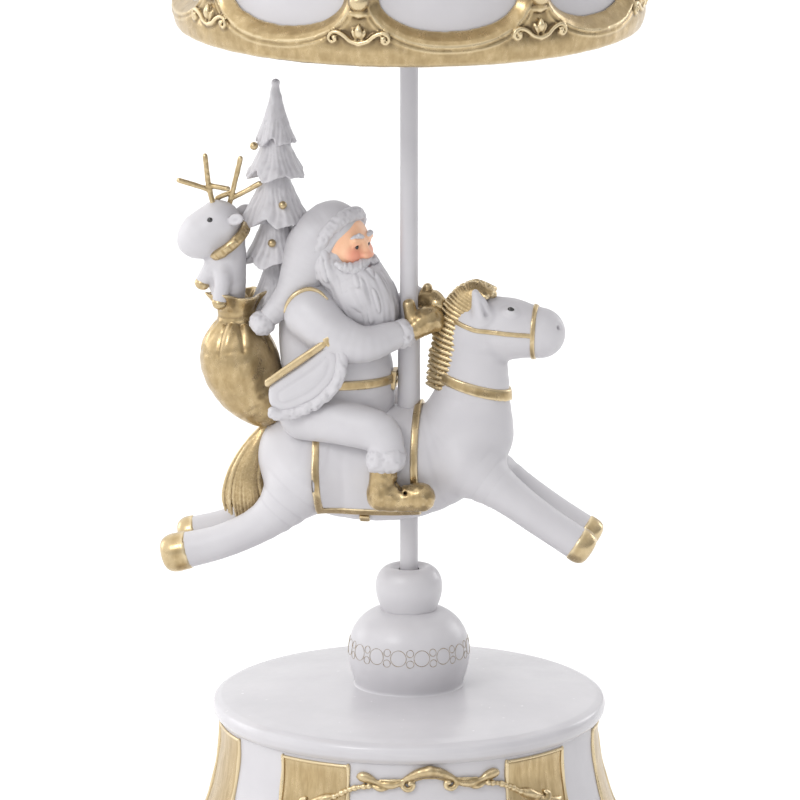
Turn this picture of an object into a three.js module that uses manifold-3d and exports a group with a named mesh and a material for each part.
// Carousel music box: a bell-shaped base with a wind-up cylinder movement inside, a turned
// baluster, and a pole that the movement turns, carrying a rider on a galloping horse and a
// crown-shaped canopy. Millimetres, +Z up, origin on the table under the pole, front towards -Y.
import * as THREE from "three";
import { ConvexGeometry } from "three/addons/geometries/ConvexGeometry.js";
import { mergeVertices } from "three/addons/utils/BufferGeometryUtils.js";
import Module from "manifold-3d";

const wasm = await Module();
wasm.setup();

// Driving dimensions.
const GAP = 0.3; // between pieces that rest on each other
const DECK_R = 60; // the deck's rim
const DECK_Z = 62; // the top of the deck's rim above the table
const DECK_RISE = 3.6; // how far the deck's middle stands above its rim
const FOOT_R = 76; // the base's foot
const POLE_R = 2.8;
const POLE_TOP = 322;
const CROWN_Z = 274; // the canopy's lower edge
const CROWN_H = 40;
const CROWN_R = 72; // the canopy's widest radius
const WINDOWS = 8; // oval windows round the crown
const FIGURE_YAW = -14; // degrees that the horse's heading is turned from +X
const ROUND = 36; // sides of a large turned piece
const FINE = 20; // sides of a small one
const AXLE_Z = 29.95; // height of the music cylinder's axis
const FINIAL_Z = 344.3;

// Gear data: pitch radii follow from the tooth counts.
const CROWN_TEETH = 40; // contrate teeth on the spring barrel
const PINION_TEETH = 12; // music cylinder's pinion
const CROWN_MESH_R = 13.9; // where the pinion meets the contrate teeth
const PINION_R = (CROWN_MESH_R * PINION_TEETH) / CROWN_TEETH;
const TRAIN_MODULE = 0.5;
const CYLINDER_WHEEL_TEETH = 30;
const GOVERNOR_PINION_TEETH = 10;
const WORM_MODULE = 0.6;
const WORM_WHEEL_TEETH = 20;
const WORM_R = 1.8;
const GOVERNOR_Y = (-TRAIN_MODULE * (CYLINDER_WHEEL_TEETH + GOVERNOR_PINION_TEETH)) / 2;
const WORM_Y = GOVERNOR_Y - (WORM_MODULE * WORM_WHEEL_TEETH) / 2 - WORM_R;
const WORM_X = 41.9;

const COLOURS = {
  white: [0xe9e7ea, 0.55, 0],
  gold: [0xc3a25c, 0.35, 0.85],
  skin: [0xf0b48c, 0.5, 0],
  felt: [0xcfc8b8, 0.95, 0],
  brass: [0xc8a24a, 0.3, 1],
  steel: [0xaeb2b6, 0.3, 1],
  zinc: [0x8f9396, 0.45, 1],
  board: [0xb79a72, 0.8, 0],
};

// ---------------------------------------------------------------- solids

// A closed three.js geometry as a solid; faces that point inwards are turned round.
function solid(geometry) {
  const bare = new THREE.BufferGeometry();
  const open = geometry.index ? geometry.toNonIndexed() : geometry;
  bare.setAttribute("position", open.getAttribute("position").clone());
  const merged = mergeVertices(bare, 1e-4);
  const kept = [];
  for (let i = 0; i < merged.index.count; i += 3) {
    const [a, b, c] = [0, 1, 2].map((k) => merged.index.getX(i + k));
    if (a !== b && b !== c && c !== a) kept.push(a, b, c);
  }
  const build = (triVerts) =>
    new wasm.Manifold(
      new wasm.Mesh({
        numProp: 3,
        vertProperties: merged.attributes.position.array,
        triVerts: new Uint32Array(triVerts),
      }),
    );
  const made = build(kept);
  return made.volume() > 0 ? made : build(kept.reverse());
}

const join = (first, ...others) => others.reduce((sum, one) => sum.add(one), first);
const cut = (first, ...others) => others.reduce((rest, one) => rest.subtract(one), first);

// The biggest separate body of a solid: the scraps that a cut leaves fall away.
function main(one) {
  const bodies = one.decompose();
  return bodies.reduce((best, b) => (b.volume() > best.volume() ? b : best), bodies[0]);
}

// A round piece turned about Z from [radius, height] pairs. A profile that doesn't start
// and end on the axis closes on itself.
function turned(profile, sides = FINE) {
  const points = profile.map(([r, z]) => new THREE.Vector2(r, z));
  const onAxis = profile[0][0] === 0 && profile.at(-1)[0] === 0;
  if (!onAxis) points.push(points[0].clone());
  return solid(new THREE.LatheGeometry(points, sides).rotateX(Math.PI / 2));
}

const disc = (r, low, high, sides = FINE) =>
  turned([[0, low], [r, low], [r, high], [0, high]], sides);
const ring = (inner, outer, low, high, sides = FINE) =>
  turned([[inner, low], [outer, low], [outer, high], [inner, high]], sides);

function block(x0, x1, y0, y1, z0, z1) {
  const box = new THREE.BoxGeometry(x1 - x0, y1 - y0, z1 - z0);
  return solid(box.translate((x0 + x1) / 2, (y0 + y1) / 2, (z0 + z1) / 2));
}

// A flat outline of [x, y] points, extruded from z0 to z1.
function slab(outline, z0, z1) {
  const shape = new THREE.Shape(outline.map(([x, y]) => new THREE.Vector2(x, y)));
  const made = new THREE.ExtrudeGeometry(shape, { depth: z1 - z0, bevelEnabled: false });
  return solid(made.translate(0, 0, z0));
}

// An outline of [x, z] points, extruded to a thickness centred on y = middle.
const sideSlab = (outline, thickness, middle = 0) =>
  slab(outline, -thickness / 2, thickness / 2)
    .rotate([90, 0, 0])
    .translate([0, middle, 0]);

// Moves a piece that was turned about Z onto an axis along X.
const alongX = (one, y = 0, z = AXLE_Z) => one.rotate([0, 90, 0]).translate([0, y, z]);

// A chain of balls [x, y, z, radius], each pair joined by its convex hull. flat squeezes the
// balls across the figure, and grow makes a bigger copy to cut a neighbour with.
const BALLS = {
  round: new THREE.IcosahedronGeometry(1.03, 1),
  plain: new THREE.DodecahedronGeometry(1.06, 0),
  coarse: new THREE.IcosahedronGeometry(1.1, 0),
};
function limb(balls, { flat = 1, grow = 0, kind = "plain" } = {}) {
  const cloud = ([x, y, z, r]) => {
    const ball = BALLS[kind].getAttribute("position");
    return Array.from({ length: ball.count }, (_, i) =>
      new THREE.Vector3().fromBufferAttribute(ball, i).multiply(
        new THREE.Vector3(r + grow, r * flat + grow, r + grow),
      ).add(new THREE.Vector3(x, y, z)),
    );
  };
  const hulls = balls.length === 1
    ? [solid(new ConvexGeometry(cloud(balls[0])))]
    : balls.slice(1).map((b, i) => solid(new ConvexGeometry([...cloud(balls[i]), ...cloud(b)])));
  return join(...hulls);
}

// A gear's outline: each tooth has a foot, a flank and a narrow tip.
function gear(teeth, root, tip, footShare, tipShare, low, high) {
  const step = (2 * Math.PI) / teeth;
  const outline = [];
  for (let i = 0; i < teeth; i += 1) {
    for (const [r, share] of [[root, -footShare], [tip, -tipShare], [tip, tipShare], [root, footShare]]) {
      const angle = step * (i + share / 2);
      outline.push([r * Math.cos(angle), r * Math.sin(angle)]);
    }
  }
  return slab(outline, low, high);
}

// ---------------------------------------------------------------- the scene graph

// Puts a solid in a group as one named mesh with a material of its own.
function add(group, name, one, colour) {
  const { vertProperties, triVerts } = main(one).getMesh();
  const geometry = new THREE.BufferGeometry();
  geometry.setAttribute("position", new THREE.BufferAttribute(vertProperties, 3));
  geometry.setIndex(new THREE.BufferAttribute(triVerts, 1));
  geometry.computeVertexNormals();
  const [color, roughness, metalness] = COLOURS[colour];
  const mesh = new THREE.Mesh(geometry, new THREE.MeshStandardMaterial({ color, roughness, metalness }));
  mesh.name = name;
  group.add(mesh);
}

const musicBox = new THREE.Group();
const base = new THREE.Group();
const movement = new THREE.Group();
const carousel = new THREE.Group();
const figure = new THREE.Group();
figure.rotation.z = THREE.MathUtils.degToRad(FIGURE_YAW);
carousel.add(figure);
musicBox.add(base, movement, carousel);

// ---------------------------------------------------------------- base

const PLATE_TOP = 16.3; // upper face of the board that closes the base
const PLATE_R = 61.8;
const SKIRT_LOW = 1.5; // the skirt stands on the felt ring
const SKIRT_TOP = 56.7;
const LEDGE_SCREW_R = 58.2;
const thirds = [90, 210, 330].map(THREE.MathUtils.degToRad);

const skirtProfile = [
  [67, SKIRT_LOW], [FOOT_R, SKIRT_LOW], [FOOT_R, 6], [72.4, 9.4], [67.6, 18.4], [63.2, 28.4], [60.2, 39],
  [58.6, 50], [58.2, SKIRT_TOP],
  [54.2, SKIRT_TOP], [54.2, PLATE_TOP + GAP], [PLATE_R + GAP, PLATE_TOP + GAP], [PLATE_R + GAP, 11],
];
const screwAt = (r, angle, one) => one.translate([r * Math.cos(angle), r * Math.sin(angle), 0]);
add(
  base, "base_skirt",
  cut(turned(skirtProfile, ROUND),
    ...thirds.map((a) => screwAt(LEDGE_SCREW_R, a, disc(1.3 + GAP, 0, 24, 8)))),
  "white",
);
add(base, "felt_ring", ring(67, FOOT_R - 1, 0, SKIRT_LOW - GAP, ROUND), "felt");

const MOVEMENT_SCREWS = [[-14, 16], [30, -19]];
add(
  base, "bottom_plate",
  cut(
    ring(4.2, PLATE_R, PLATE_TOP - 3, PLATE_TOP, ROUND),
    ...thirds.map((a) => screwAt(LEDGE_SCREW_R, a, disc(1.3 + GAP, 0, 24, 8))),
    ...MOVEMENT_SCREWS.map(([x, y]) => disc(1.2 + GAP, 0, 24, 8).translate([x, y, 0])),
  ),
  "board",
);
const screw = (shank, head, headLow, headHigh, end) =>
  turned([[0, headLow], [head, headLow], [head, headHigh], [shank, headHigh], [shank, end], [0, end]], 10);
thirds.forEach((a, i) =>
  add(base, `plate_screw_${i + 1}`, screwAt(LEDGE_SCREW_R, a, screw(1.3, 2.6, 11.4, 13, 22.5)), "steel"));

const DECK_UNDER = SKIRT_TOP + GAP;
const DECK_MIDDLE = DECK_Z + DECK_RISE;
add(
  base, "deck_plate",
  turned([
    [5.3, DECK_UNDER], [DECK_R - 2, DECK_UNDER], [DECK_R - 0.6, DECK_UNDER + 0.8], [DECK_R, DECK_UNDER + 2.4],
    [DECK_R - 0.4, DECK_Z - 0.9], [DECK_R - 1.8, DECK_Z], [18, DECK_MIDDLE], [5.3, DECK_MIDDLE],
  ], ROUND),
  "white",
);
add(
  base, "pole_bush",
  turned([
    [3.0, 54.8], [8, 54.8], [8, DECK_UNDER - GAP], [5, DECK_UNDER - GAP], [5, DECK_MIDDLE],
    [3.0, DECK_MIDDLE],
  ]),
  "brass",
);

// The baluster is two balls; the pole runs through both without touching them.
const BORE_R = 3.4;
const LOWER_BALL_TOP = 89.6;
add(
  base, "lower_ball",
  turned([
    [BORE_R, DECK_MIDDLE + GAP], [16.2, DECK_MIDDLE + GAP], [17.8, 69.3], [18.8, 75], [18.1, 80],
    [16, 84.6], [12.6, 88], [8.8, LOWER_BALL_TOP], [BORE_R, LOWER_BALL_TOP],
  ], 28),
  "white",
);
add(
  base, "upper_ball",
  turned([
    [BORE_R, LOWER_BALL_TOP + GAP], [8.9, LOWER_BALL_TOP + GAP], [10, 92.6], [10.4, 96], [9.8, 99.6],
    [8, 102.4], [6.2, 103.2], [4.6, 102.2], [BORE_R, 100.6],
  ], 24),
  "white",
);

// ---------------------------------------------------------------- movement: fixed frame

const BED_LOW = PLATE_TOP + GAP;
const BED_TOP = BED_LOW + 2.5;
const POST_LOW = BED_TOP + GAP;
const bed = cut(
  slab([[-19, -21], [35, -21], [49, -21], [49, 6], [40, 23], [-12, 23], [-19, 15]], BED_LOW, BED_TOP),
  disc(2.2, 0, 40),
  disc(1.1, 0, 40, 10).translate([WORM_X, WORM_Y, 0]),
  ...MOVEMENT_SCREWS.map(([x, y]) => disc(1.2 + GAP, 0, 40, 8).translate([x, y, 0])),
);
add(movement, "bedplate", bed, "zinc");
MOVEMENT_SCREWS.forEach(([x, y], i) =>
  add(
    movement,
    `movement_screw_${i + 1}`,
    screw(1.2, 2.4, 11.6, 13, BED_TOP - 0.4).translate([x, y, 0]),
    "steel"
  ));

// A strap over the spring barrel, with a leg on each side, holds the output shaft upright.
const BRIDGE_Z = 38.6;
const BRIDGE_Y = 19.5;
const bridge = cut(
  join(
    block(-4, 4, -BRIDGE_Y, BRIDGE_Y, BRIDGE_Z, BRIDGE_Z + 1.8),
    block(-4, 4, -BRIDGE_Y, -BRIDGE_Y + 1.8, POST_LOW, BRIDGE_Z + 0.9),
    block(-4, 4, BRIDGE_Y - 1.8, BRIDGE_Y, POST_LOW, BRIDGE_Z + 0.9),
  ),
  disc(1.85, BRIDGE_Z - 1, BRIDGE_Z + 3, 14),
);
add(movement, "barrel_bridge", bridge, "steel");

// The wrap spring grips the winding arbor and keeps it from running back.
class Helix extends THREE.Curve {
  constructor(radius, turns, low, high) {
    super();
    Object.assign(this, { radius, turns, low, high });
  }
  getPoint(t) {
    const angle = 2 * Math.PI * this.turns * t;
    return new THREE.Vector3(
      this.radius * Math.cos(angle), this.radius * Math.sin(angle), this.low + t * (this.high - this.low));
  }
}
function wire(curve, r, steps, sides = 6) {
  const section = new THREE.Shape();
  for (let i = 0; i < sides; i += 1) {
    const angle = (2 * Math.PI * i) / sides;
    section[i ? "lineTo" : "moveTo"](r * Math.cos(angle), r * Math.sin(angle));
  }
  return solid(new THREE.ExtrudeGeometry(section, { steps, extrudePath: curve, bevelEnabled: false }));
}
add(movement, "clutch_spring", wire(new Helix(2.5, 3, POST_LOW + 0.3, 22.2), 0.32, 27, 4), "steel");

// Posts that carry the cylinder's and the governor's arbors.
const postHole = (r, y) => alongX(disc(r, 0, 60, 12), y);
add(movement, "inner_post", cut(block(15.6, 16.8, -3, 3, POST_LOW, 33), postHole(1.25, 0)), "zinc");
add(
  movement, "outer_post",
  cut(block(43.6, 45.1, -13, 4, POST_LOW, 33.5), postHole(1.25, 0), postHole(1.05, GOVERNOR_Y)),
  "zinc",
);
add(
  movement,
  "governor_post",
  cut(block(34.2, 35.4, -13, -7.6, POST_LOW, 33), postHole(1.05, GOVERNOR_Y)),
  "zinc"
);
add(
  movement, "governor_bracket",
  cut(
    join(block(46.6, 48.4, WORM_Y - 2.4, WORM_Y + 2.4, POST_LOW, 45.6),
      block(39.6, 48.4, WORM_Y - 2.4, WORM_Y + 2.4, 44.2, 45.6)),
    disc(0.95, 40, 50, 10).translate([WORM_X, WORM_Y, 0]),
  ),
  "zinc",
);

// The comb's eighteen tongues reach almost to the pins.
const TONGUES = 18;
const TRACK = 1.08; // distance between neighbouring tracks of pins
const COMB_X = 17.6;
const COMB_TIP_Y = 7.35;
const COMB_Z = 29.6;
const combOutline = [[COMB_X, 22]];
for (let i = 0; i < TONGUES; i += 1) {
  const x = COMB_X + i * TRACK;
  const root = 13.5 + (2.4 * i) / TONGUES;
  combOutline.push([x, i ? root : 16], [x, COMB_TIP_Y], [x + 0.72, COMB_TIP_Y], [x + 0.72, root]);
}
combOutline.push([COMB_X + TONGUES * TRACK - 0.36, 22]);
const COMB_SCREWS = [COMB_X + 4, COMB_X + 15];
const combHoles = COMB_SCREWS.map((x) => disc(1 + GAP, 20, 40, 8).translate([x, 19, 0]));
add(movement, "comb", cut(slab(combOutline, COMB_Z, COMB_Z + 0.8), ...combHoles), "steel");
add(
  movement, "comb_stand",
  cut(block(COMB_X, COMB_X + TONGUES * TRACK - 0.36, 16.4, 22, POST_LOW, COMB_Z - GAP), ...combHoles),
  "zinc",
);
COMB_SCREWS.forEach((x, i) =>
  add(movement, `comb_screw_${i + 1}`,
    screw(1, 1.9, COMB_Z + 2.2, COMB_Z + 0.8 + GAP, 24).translate([x, 19, 0]), "steel"));

// ---------------------------------------------------------------- movement: what turns

// Winding: the key screws on to the arbor under the base.
const KEY_LOW = 2.2;
add(movement, "winding_arbor", disc(1.5, 5.2, 33.6, 14), "steel");
const keyGrip = cut(
  sideSlab([
    [-9.5, 3.4], [-8.4, KEY_LOW], [8.4, KEY_LOW], [9.5, 3.4], [9.5, 8], [7.8, 9.6], [2, 9.6], [-2, 9.6],
    [-7.8, 9.6], [-9.5, 8],
  ], 2),
  alongX(disc(1.9, -2, 2, 10), 0, 0).rotate([0, 0, 90]).translate([-6, 0, 5.8]),
  alongX(disc(1.9, -2, 2, 10), 0, 0).rotate([0, 0, 90]).translate([6, 0, 5.8]),
);
const keyHub = join(keyGrip, disc(3, KEY_LOW + 0.6, 12.6, 14));
add(movement, "winding_key", cut(keyHub, disc(1.5 + GAP, 5.2 - GAP, 20, 14)), "brass");

// The spring barrel: a cup on a flange with contrate teeth that drive the cylinder's pinion.
const FLANGE_LOW = 23;
const FLANGE_TOP = 25;
const TOOTH_TOP = 26.6;
const BARREL_TOP = 34;
const crownTooth = (inner, outer, footShare, tipShare) => {
  const half = (share, r) => (share * Math.PI * r) / CROWN_TEETH;
  const corners = [];
  for (const r of [inner, outer]) {
    for (const [share, z] of [[footShare, FLANGE_TOP - 0.4], [tipShare, TOOTH_TOP]]) {
      for (const side of [-1, 1]) corners.push(new THREE.Vector3(r, side * half(share, r), z));
    }
  }
  return solid(new ConvexGeometry(corners));
};
const tooth = crownTooth(12.9, 14.9, 0.52, 0.26);
const barrel = join(
  turned([[1.85, FLANGE_LOW], [15.1, FLANGE_LOW], [15.1, FLANGE_TOP], [11.5, FLANGE_TOP], [11.5, BARREL_TOP],
    [10.6, BARREL_TOP], [10.6, FLANGE_LOW + 1.2], [1.85, FLANGE_LOW + 1.2]], 30),
  ...Array.from({ length: CROWN_TEETH }, (_, i) => tooth.rotate([0, 0, ((i + 0.5) * 360) / CROWN_TEETH])),
);
add(carousel, "spring_barrel", barrel, "brass");
add(carousel, "barrel_lid", disc(11.4, BARREL_TOP + GAP, BARREL_TOP + 1.4, 30), "brass");

// The mainspring: a flat strip wound from near the arbor out to the barrel's wall.
const SPRING_TURNS = 4.2;
const SPRING_STEPS = 63;
const spiral = (offset) => Array.from({ length: SPRING_STEPS + 1 }, (_, i) => {
  const angle = (2 * Math.PI * SPRING_TURNS * i) / SPRING_STEPS;
  const r = 3.4 + (6.5 * i) / SPRING_STEPS + offset;
  return [r * Math.cos(angle), r * Math.sin(angle)];
});
const springOutline = [...spiral(0.25), ...spiral(-0.25).reverse()];
add(carousel, "mainspring", slab(springOutline, FLANGE_LOW + 1.6, BARREL_TOP - 0.4), "steel");
const LID_TOP = BARREL_TOP + 1.4;
add(
  carousel, "output_shaft",
  turned([
    [0, LID_TOP + GAP], [4, LID_TOP + GAP], [4, LID_TOP + 1.6], [1.5, LID_TOP + 1.6], [1.5, 47.4],
    [0, 47.4],
  ], 14),
  "steel",
);
const POLE_LOW = 48;
add(
  carousel, "pole_coupling",
  turned([[1.5 + GAP, 42.6], [4.6, 42.6], [4.8, 43.2], [4.8, 53.4], [4.6, 54], [POLE_R + GAP, 54],
    [POLE_R + GAP, POLE_LOW - GAP], [1.5 + GAP, POLE_LOW - GAP]], 18),
  "brass",
);

// The music cylinder, its pinion and the wheel that drives the governor.
add(movement, "cylinder_arbor", alongX(disc(1, 12.2, 45.6, 12)), "steel");
add(
  movement, "cylinder_pinion",
  alongX(cut(
    gear(PINION_TEETH, PINION_R - 1, PINION_R + 0.62, 0.56, 0.18, 12.9, 14.8),
    disc(1 + GAP, 10, 20, 12)
  )),
  "brass",
);
const CYLINDER_R = 6.4;
const PIN_TIP_R = 7.05;
const pin = solid(new ConvexGeometry([
  new THREE.Vector3(CYLINDER_R - 0.5, -0.3, -0.3), new THREE.Vector3(CYLINDER_R - 0.5, 0.3, -0.3),
  new THREE.Vector3(CYLINDER_R - 0.5, 0.3, 0.3), new THREE.Vector3(CYLINDER_R - 0.5, -0.3, 0.3),
  new THREE.Vector3(PIN_TIP_R, 0, 0),
]));
const PINS = 54;
const pins = Array.from({ length: PINS }, (_, i) => {
  const track = (i * 7) % TONGUES;
  const angle = (i * 137.5) % 360;
  return pin.rotate([0, 0, angle]).translate([0, 0, COMB_X + 0.36 + track * TRACK]);
});
add(
  movement, "music_cylinder",
  alongX(join(ring(1 + GAP, CYLINDER_R, 17.2, 37.4, 24), ...pins)),
  "brass",
);
const wheelRadius = (module, teeth) => (module * teeth) / 2;
const cylinderWheelR = wheelRadius(TRAIN_MODULE, CYLINDER_WHEEL_TEETH);
add(
  movement, "cylinder_wheel",
  alongX(cut(gear(CYLINDER_WHEEL_TEETH, cylinderWheelR - 0.6, cylinderWheelR + 0.42, 0.6, 0.22, 38.4, 39.9),
    disc(1 + GAP, 30, 50, 12))),
  "brass",
);

// The governor: a pinion and worm wheel on one arbor, and a worm with a two-bladed air brake.
const governorPinionR = wheelRadius(TRAIN_MODULE, GOVERNOR_PINION_TEETH);
add(
  movement, "governor_pinion",
  alongX(join(
    gear(GOVERNOR_PINION_TEETH, governorPinionR - 0.6, governorPinionR + 0.42, 0.6, 0.2, 38.3, 40)
      .rotate([0, 0, 90]),
    disc(0.8, 33.8, 45.6, 10),
  ), GOVERNOR_Y),
  "steel",
);
const wormWheelR = wheelRadius(WORM_MODULE, WORM_WHEEL_TEETH);
add(
  movement, "worm_wheel",
  alongX(cut(
    gear(WORM_WHEEL_TEETH, wormWheelR - 0.75, wormWheelR + 0.45, 0.55, 0.2, WORM_X - 0.6, WORM_X + 0.6),
    disc(0.8 + GAP, 30, 50, 10)
  ), GOVERNOR_Y),
  "brass",
);
const LEAD = Math.PI * WORM_MODULE;
const WORM_TURNS = 3;
const THREAD_HALF = (LEAD * WORM_TURNS) / 2;
const threadPath = new Helix(WORM_R - 0.3, WORM_TURNS, AXLE_Z - THREAD_HALF, AXLE_Z + THREAD_HALF);
const thread = wire(threadPath, 0.42, 30, 4);
add(
  movement, "worm",
  join(disc(1.25, 26.2, 33.8, 10), disc(0.7, BED_LOW, 45.4, 10), thread.rotate([0, 0, 90]))
    .translate([WORM_X, WORM_Y, 0]),
  "steel",
);
add(
  movement, "air_brake",
  cut(join(block(-4.1, 4.1, -0.35, 0.35, 36.4, 42.6), disc(1.7, 36.4, 38.4, 12)), disc(0.7 + GAP, 30, 50, 12))
    .rotate([0, 0, 35]).translate([WORM_X, WORM_Y, 0]),
  "brass",
);

// ---------------------------------------------------------------- pole and figure

add(carousel, "pole", disc(POLE_R, POLE_LOW, POLE_TOP, 16), "white");
const poleCut = (grow = GAP) => disc(POLE_R + grow, 90, 260, 16);
const SLEEVE_R = 3.6;
const sleeve = (grow = 0) => disc(SLEEVE_R + grow, 152, 176, 16);

const mirror = (balls) => balls.map(([x, y, z, r]) => [x, -y, z, r]);

// The horse: barrel, neck, head, ears and four legs at the gallop.
const hindLeg = [
  [-32, -7, 131.5, 10.5], [-42.2, -9, 119.2, 5.9], [-56.3, -9, 111.5, 5.4], [-71.6, -9, 107.4, 5.5],
];
const foreLeg = [[19, -7, 138, 9.2], [30.5, -8, 130, 5.6], [52.3, -8, 115.2, 4.8]];
const horse = (grow = 0) => join(
  limb([
    [-33, 0, 137.4, 14.6], [-18.5, 0, 135.8, 16], [-3, 0, 136.8, 17], [9.7, 0, 140, 16], [18.4, 0, 145, 13.9],
  ], { flat: 0.82, grow, kind: "round" }),
  limb([[18.4, 0, 147, 13.2], [20.8, 0, 164.6, 11], [21.6, 0, 175, 9.4]], { flat: 0.72, grow }),
  limb([[22.7, 0, 180.8, 9.6], [31, 0, 179.6, 9.2], [40.7, 0, 178.5, 7.7]], { flat: 0.76, grow }),
  limb(hindLeg, { grow }),
  limb(mirror(hindLeg), { grow }),
  limb(foreLeg, { grow }),
  limb(mirror(foreLeg), { grow }),
);
const ear = [[22.6, -5.5, 187.5, 2.2], [21, -6.2, 193.2, 1]];
const ears = [ear, mirror(ear)].map((balls) => limb(balls, { kind: "coarse" }));
add(figure, "horse", cut(join(horse(), ...ears), poleCut(), sleeve(GAP)), "white");
add(figure, "pole_sleeve", cut(sleeve(), poleCut(), horse(0.1)), "white");

const blanket = (grow = 0) => horse(1.6 + grow).intersect(
  block(-27.6 - grow, 4 + grow, -20, 20, 124 - grow, 170));
add(figure, "saddle_cloth", cut(blanket(), horse(GAP), poleCut(), sleeve(GAP)), "white");

// The rider: coat, sleeves and trousers in one piece, then boots, mittens, satchel and head.
const arm = [[-30.5, -8, 183, 7.6], [-22, -13, 176.5, 6], [-10, -11.5, 176, 4.5], [0.2, -6.5, 180, 4]];
const leg = [[-27, -9, 156, 8.2], [-7, -16.5, 153, 6.4], [-5.4, -18, 142, 5.4]];
const farArm = [[-28, 8, 183, 7.2], [-16, 11, 182, 5], [1, 7, 189, 3.8]];
const coat = (grow = 0) => join(
  limb([[-28.3, 0, 181, 11.6], [-21.5, 0, 164.5, 13.6], [-19.5, 0, 158.5, 13.4]], { grow, kind: "round" }),
  limb(arm, { grow }),
  limb(farArm, { grow }),
  limb(leg, { grow }),
  limb(mirror(leg), { grow }),
);
add(figure, "rider_coat", cut(coat(), blanket(GAP), horse(GAP), poleCut(), sleeve(GAP)), "white");
const boot = [[-5.6, -18.6, 134, 4.4], [-5.7, -19, 129.6, 4.8], [6, -19.4, 129.8, 4.3]];
add(figure, "boot_right", cut(limb(boot), coat(GAP), blanket(GAP)), "gold");
add(figure, "boot_left", cut(limb(mirror(boot)), coat(GAP), blanket(GAP)), "gold");
const mittenRight = (grow = 0) => limb([[1.6, -4.4, 186.2, 2.8], [6.4, -2.2, 184.6, 4]], { grow });
const mittenLeft = (grow = 0) => limb([[3.6, 4.6, 193, 2.4], [7, 2.8, 192, 3]], { grow });
add(figure, "mitten_right", cut(mittenRight(), coat(GAP), poleCut(), mittenLeft(GAP)), "gold");
add(figure, "mitten_left", cut(mittenLeft(), coat(GAP), poleCut()), "gold");
const head = (grow = 0) => join(
  limb([[-21.4, 0, 206, 9.8], [-13.5, -1, 204, 5.5]], { grow }),
  limb([[-17.3, 0, 198.5, 9], [-14.3, 0, 188, 8.6], [-11.5, 0, 180, 5.6]], { grow }),
  limb([[-26, 0, 209, 9.6], [-35, -1.5, 199, 4.6], [-40, -6, 188, 3.2], [-44.6, -9, 181, 4.1]], { grow }),
);
add(figure, "rider_head", cut(head(), coat(GAP), poleCut()), "skin");
const satchel = (grow = 0) => limb([[-37, -14.5, 160, 7], [-24, -15.5, 169.5, 7]], { flat: 0.7, grow });
add(figure, "satchel", cut(satchel(), coat(GAP), blanket(GAP), horse(GAP)), "white");

// The horse's mane and tail are flat crests.
const maneOutline = [
  [5.2, 162], [6.2, 172], [8, 180], [10.8, 187], [14.6, 192], [19, 194.6], [24, 194.2], [27, 192],
  [24, 188], [20, 184], [16.5, 172], [12, 160],
];
const wideEars = [ear, mirror(ear)].map((balls) => limb(balls, { grow: GAP, kind: "coarse" }));
const byTheMane = [horse(GAP), mittenRight(GAP), mittenLeft(GAP), coat(GAP), ...wideEars];
add(figure, "mane", cut(sideSlab(maneOutline, 6), ...byTheMane), "gold");
const tailOutline = [
  [-44, 148], [-50.4, 142], [-55.6, 134], [-59.4, 125], [-59, 120.4], [-51.4, 117.4], [-45, 120], [-40, 136],
];
const tail = (grow = 0) => sideSlab(tailOutline, 11 + 2 * grow);
add(figure, "tail", cut(tail(), horse(GAP)), "gold");

// Gift sack with the tree and the toy reindeer that look out of it.
const sack = (grow = 0) => join(
  limb([[-52.4, -1, 166.6, 12], [-46.5, -1, 156.5, 7.5]], { grow }),
  limb([[-53, -1, 174, 7], [-52.4, -1, 182, 7]], { grow }),
);
add(figure, "gift_sack", cut(sack(), coat(GAP), head(GAP), horse(GAP), satchel(GAP), tail(GAP)), "gold");
const TREE_X = -42.4;
const TREE_Y = 4;
// Each tier's top, foot and radius.
const TIERS = [[254, 236, 7.4], [243, 224.5, 10.2], [231, 211, 11.6], [218, 196, 11.8], [200, 184, 7]];
const tier = ([top, low, r], grow) =>
  turned([[0, low - grow], [r + grow, low - grow], [1.2 + grow, top + grow], [0, top + grow]], 12)
    .translate([TREE_X, TREE_Y, 0]);
const tree = (grow = 0) => join(...TIERS.map((one) => tier(one, grow)));
add(figure, "fir_tree", cut(tree(), sack(GAP), head(GAP), coat(GAP)), "white");
const reindeer = (grow = 0) => join(
  limb([[-64, -4.5, 207.4, 7.8], [-57, -3.6, 210.6, 6.6]], { grow }),
  limb([[-56.5, -3, 205, 4.6], [-57.4, -2.4, 193, 6.2]], { grow }),
);
const sackTop = limb([[-57, -3, 189.5, 3]], {});
const byTheReindeer = [sack(GAP), tree(GAP), head(GAP), coat(GAP)];
add(figure, "toy_reindeer", cut(join(reindeer(), sackTop), ...byTheReindeer), "white");
const antler = (x, y, lean) => join(
  limb([[x, y, 215.6, 0.9], [x + lean, y, 231, 0.8]], { kind: "coarse" }),
  limb([[x + 0.2 * lean, y, 219.6, 0.8], [x + 3.2 * lean, y - 0.6, 222.6, 0.8]], { kind: "coarse" }),
);
add(figure, "antler_right", cut(antler(-60.8, -5.4, -2.9), reindeer(GAP)), "gold");
add(figure, "antler_left", cut(antler(-56.4, -1.6, 3.1), reindeer(GAP), tree(GAP)), "gold");

// ---------------------------------------------------------------- canopy

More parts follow.
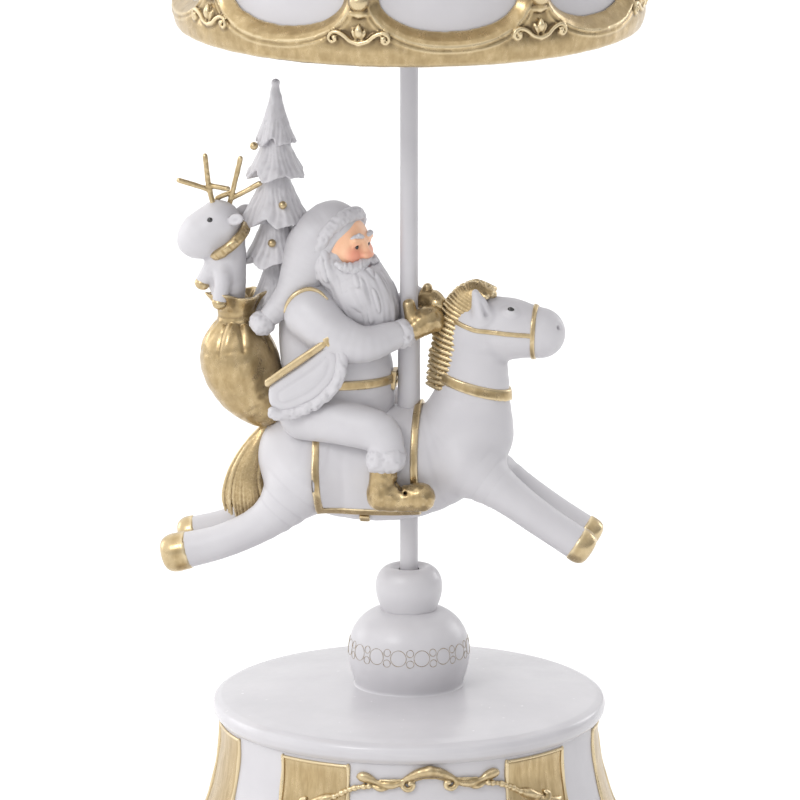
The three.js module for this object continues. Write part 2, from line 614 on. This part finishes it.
const SHELL_R = CROWN_R - 4.6; // the white wall behind the crown band
const CROWN_TOP = CROWN_Z + CROWN_H;
const shellOutside = [
  [SHELL_R, CROWN_Z + 1.4], [SHELL_R, CROWN_TOP - 2.4], [56, CROWN_TOP + 8], [40, CROWN_TOP + 18],
  [14, CROWN_TOP + 28],
  [6, FINIAL_Z - GAP], [0, FINIAL_Z - GAP],
];
const shellInside = [
  [0, POLE_TOP + GAP], [POLE_R + GAP, POLE_TOP + GAP], [POLE_R + GAP, CROWN_TOP + 1], [8, CROWN_TOP + 1],
  [8, CROWN_TOP + 25], [38, CROWN_TOP + 15], [53.6, CROWN_TOP + 5.4], [SHELL_R - 4, CROWN_TOP - 4],
  [SHELL_R - 4, CROWN_Z + 1.4],
];
add(carousel, "canopy_shell", turned([...shellInside, ...shellOutside], 32), "white");
add(carousel, "pole_collar", ring(POLE_R + GAP, 6, CROWN_TOP - 3.6, CROWN_TOP + 1 - GAP, 18), "gold");

// The gold crown band: a bulging ring with eight oval windows.
const bandProfile = [
  [SHELL_R + GAP, CROWN_Z + 2], [69.6, CROWN_Z], [CROWN_R, CROWN_Z + 4.6], [71.2, CROWN_Z + 20],
  [71.6, CROWN_TOP - 4], [69.6, CROWN_TOP], [SHELL_R + GAP, CROWN_TOP - 2.4],
];
const WINDOW = { halfWidth: 24, halfHeight: 12.6, z: CROWN_Z + 20.6 };
const WINDOW_SIDES = 16;
const windowOutline = Array.from({ length: WINDOW_SIDES }, (_, i) => {
  const angle = (2 * Math.PI * i) / WINDOW_SIDES;
  return [WINDOW.halfWidth * Math.cos(angle), WINDOW.z + WINDOW.halfHeight * Math.sin(angle)];
});
const windowCut = sideSlab(windowOutline, 20, -CROWN_R + 2);
const WINDOW_TURN = 4.4; // degrees from the front to the nearest window's middle
const windowCuts = Array.from({ length: WINDOWS }, (_, i) =>
  windowCut.rotate([0, 0, WINDOW_TURN + (i * 360) / WINDOWS]));
add(carousel, "crown_band", cut(turned(bandProfile, 32), ...windowCuts), "gold");
add(
  carousel, "finial",
  turned([
    [0, FINIAL_Z], [7, FINIAL_Z], [7.4, FINIAL_Z + 1.4], [3.4, FINIAL_Z + 3.2], [2.6, FINIAL_Z + 5],
    [5, FINIAL_Z + 7.4], [5.8, FINIAL_Z + 10.4], [4.6, FINIAL_Z + 13.6], [1.6, FINIAL_Z + 15.6],
    [1.3, FINIAL_Z + 17.4], [0, FINIAL_Z + 18.4],
  ], 20),
  "gold",
);

export default musicBox;
